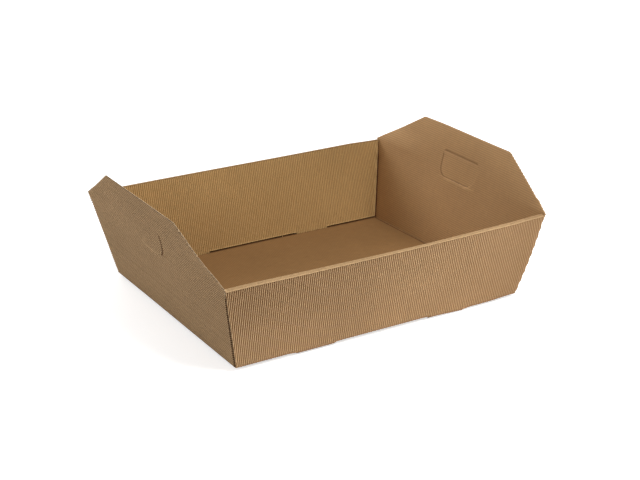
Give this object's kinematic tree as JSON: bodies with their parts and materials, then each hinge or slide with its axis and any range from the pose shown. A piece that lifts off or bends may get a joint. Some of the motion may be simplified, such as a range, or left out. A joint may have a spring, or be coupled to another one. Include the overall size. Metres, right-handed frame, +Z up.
{
  "type": "folded open-flute board tray box",
  "caption": "Open-topped tray folded from one blank of open-flute kraft board, with hollow long walls locked by tabs and taller end walls with hand-hole flaps.",
  "frame": {"origin": "on the ground, at the middle of the tray's length and width", "axes": "+X along the tray's length to its right end wall, +Y to its back long wall, +Z up out of its open top"},
  "size_m": [0.5484, 0.424, 0.1906],
  "materials": {
    "kraft_board": "matte"
  },
  "bodies": {
    "tray": {"tray": "kraft_board"},
    "left_hand_flap": {"left_hand_flap": "kraft_board"},
    "right_hand_flap": {"right_hand_flap": "kraft_board"}
  },
  "joints": [
    {"name": "left_flap_crease", "type": "hinge", "parent": "tray", "child": "left_hand_flap", "pos_m": [-0.26351, 0, 0.15196], "axis": [0, -1, 0], "range_deg": [0, 165]},
    {"name": "right_flap_crease", "type": "hinge", "parent": "tray", "child": "right_hand_flap", "pos_m": [0.26351, 0, 0.15196], "axis": [0, 1, 0], "range_deg": [0, 165]}
  ]
}
